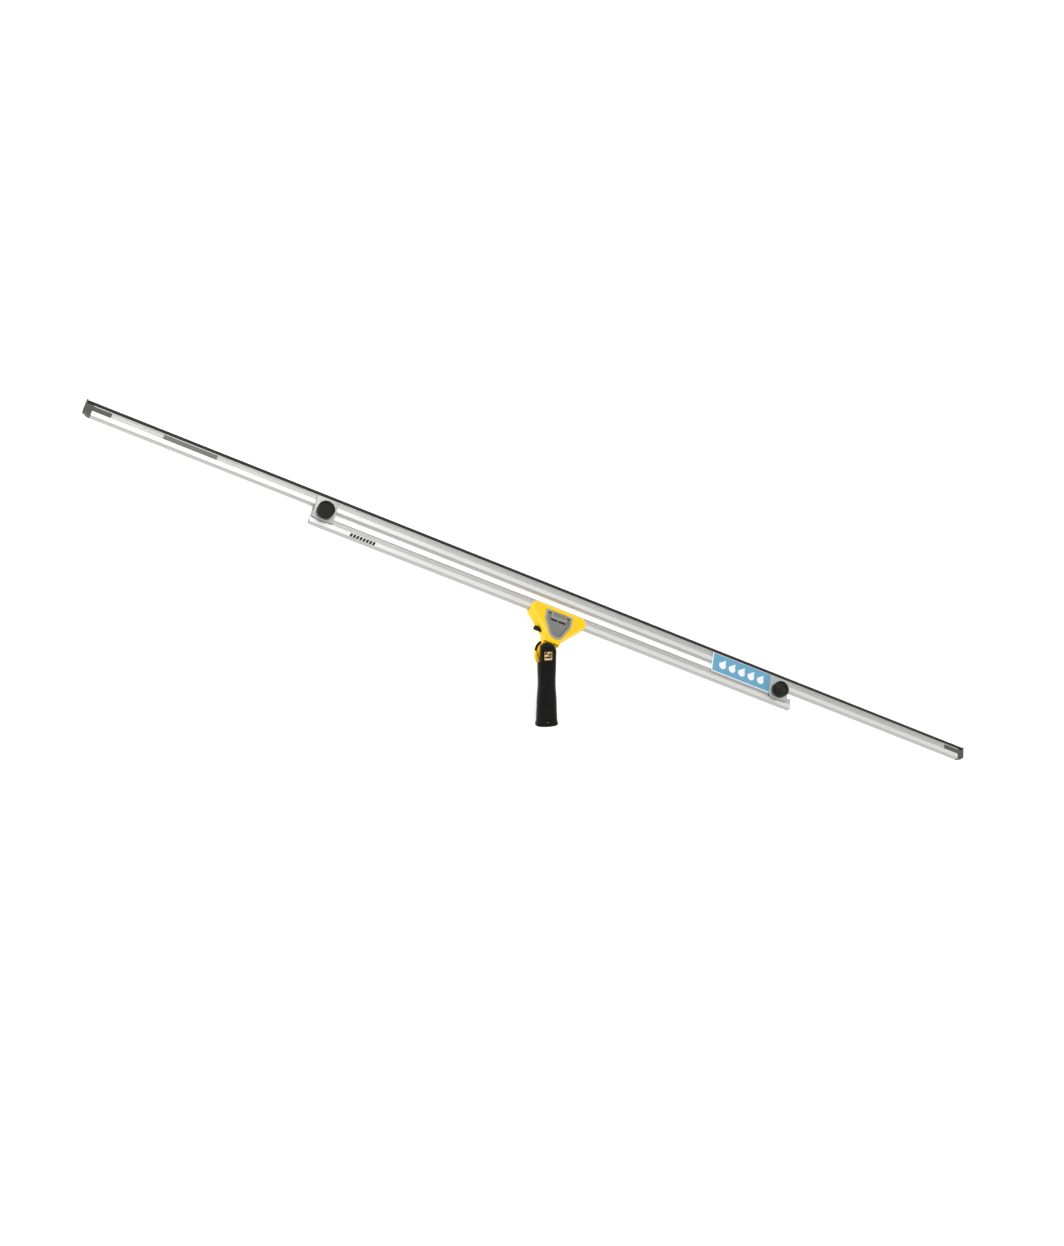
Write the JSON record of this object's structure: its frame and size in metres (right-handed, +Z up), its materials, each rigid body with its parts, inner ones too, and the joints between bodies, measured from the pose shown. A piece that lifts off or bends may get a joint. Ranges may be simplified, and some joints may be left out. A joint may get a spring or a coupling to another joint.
{
  "type": "window squeegee with leverage bar",
  "caption": "Wide window squeegee: rubber blade in a long aluminium channel, stiffened by a clamped support bar, with a swivelling quick-release grip.",
  "frame": {"origin": "middle of the whole outline, on the surface that the tool lies on", "axes": "+X along the bars, +Y towards the rubber edge, +Z up from the resting surface, with the bars' front faces leaning back by 22.4 degrees"},
  "size_m": [1.372, 0.1956, 0.0527],
  "materials": {
    "bar_aluminium": "satin anodised extrusion",
    "rubber_black": "smooth",
    "cap_plastic": "fine moulded texture",
    "strip_plastic": "smooth matt",
    "plate_aluminium": "satin, rounded edges",
    "steel": "zinc plated",
    "nylon": "natural nylon",
    "knob_plastic": "moulded, turned face",
    "brass": "plain",
    "sign_blue": "printed plastic",
    "print_black": "printed",
    "head_yellow": "satin moulded",
    "latch_grey": "moulded",
    "grip_black": "satin moulded",
    "sticker_gold": "printed foil"
  },
  "bodies": {
    "support": {"support_bar": "bar_aluminium", "clamp_plate_left": "plate_aluminium", "clamp_plate_right": "plate_aluminium", "back_plate_left": "plate_aluminium", "back_plate_right": "plate_aluminium", "clamp_bolt_left": "steel", "clamp_bolt_right": "steel", "name_plate": "sign_blue", "bar_mark": "print_black"},
    "blade_carriage": {"main_channel": "bar_aluminium", "rubber_blade": "rubber_black", "end_cap_left": "cap_plastic", "end_cap_right": "cap_plastic", "track_strip": "strip_plastic"},
    "washer_left": {"knob_washer_left": "nylon"},
    "washer_right": {"knob_washer_right": "nylon"},
    "knob_left_body": {"knob_left": "knob_plastic", "knob_insert_left": "brass"},
    "knob_right_body": {"knob_right": "knob_plastic", "knob_insert_right": "brass"},
    "head": {"head_body": "head_yellow", "jaw_pin": "steel", "jaw_pin_cap": "knob_plastic", "jaw_spring": "steel", "latch_bezel": "latch_grey", "latch_spring": "brass"},
    "jaw": {"back_jaw": "head_yellow"},
    "latch": {"latch_slide": "latch_grey"},
    "grip_body": {"grip": "grip_black", "grip_sticker": "sticker_gold", "swivel_pin": "steel", "swivel_washer": "nylon", "trigger_pin": "steel", "trigger_spring": "steel"},
    "trigger_body": {"trigger": "head_yellow"}
  },
  "joints": [
    {"name": "channel_slide", "type": "slide", "parent": "support", "child": "blade_carriage", "axis": [1, 0, 0], "range_m": [-0.2, 0.12]},
    {"name": "head_slide", "type": "slide", "parent": "support", "child": "head", "axis": [1, 0, 0], "range_m": [-0.28, 0.2]},
    {"name": "grip_swivel", "type": "hinge", "parent": "head", "child": "grip_body", "pos_m": [-0.0115, 0.0011, 0.03789], "axis": [0, -0.3024, 0.9532], "range_deg": [-56, 8]},
    {"name": "jaw_hinge", "type": "hinge", "parent": "head", "child": "jaw", "pos_m": [-0.0072, 0.02734, 0.03043], "axis": [-1, 0, 0], "range_deg": [0, 12.05], "stiffness_Nm_per_rad": 0.3, "springref_deg": -11.46, "deforming": ["jaw_spring"]},
    {"name": "latch_slide_joint", "type": "slide", "parent": "head", "child": "latch", "axis": [0, 0.9245, -0.3811], "range_m": [0, 0.0014], "stiffness_N_per_m": 400, "springref_m": -0.002, "deforming": ["latch_spring"]},
    {"name": "trigger_press", "type": "hinge", "parent": "grip_body", "child": "trigger_body", "pos_m": [-0.01796, -0.01107, 0.03235], "axis": [0, -0.3024, 0.9532], "range_deg": [0, 8], "stiffness_Nm_per_rad": 0.3, "springref_deg": -8.59, "deforming": ["trigger_spring"]},
    {"name": "knob_left_lift", "type": "slide", "parent": "support", "child": "washer_left", "axis": [0, 0.3811, 0.9245], "range_m": [0, 0.002]},
    {"name": "knob_left_turn", "type": "hinge", "parent": "washer_left", "child": "knob_left_body", "pos_m": [-0.3575, 0.0731, 0.02206], "axis": [0, 0.3811, 0.9245], "range_deg": [0, 720.5]},
    {"name": "knob_right_lift", "type": "slide", "parent": "support", "child": "washer_right", "axis": [0, 0.3811, 0.9245], "range_m": [0, 0.002]},
    {"name": "knob_right_turn", "type": "hinge", "parent": "washer_right", "child": "knob_right_body", "pos_m": [0.3515, 0.0731, 0.02206], "axis": [0, 0.3811, 0.9245], "range_deg": [0, 720.5]}
  ],
  "couplings": [
    {"joint": "jaw_hinge", "follows": "latch_slide_joint", "rad_per_m": 149.7},
    {"joint": "knob_left_turn", "follows": "knob_left_lift", "rad_per_m": 6283.2},
    {"joint": "knob_right_turn", "follows": "knob_right_lift", "rad_per_m": 6283.2}
  ]
}
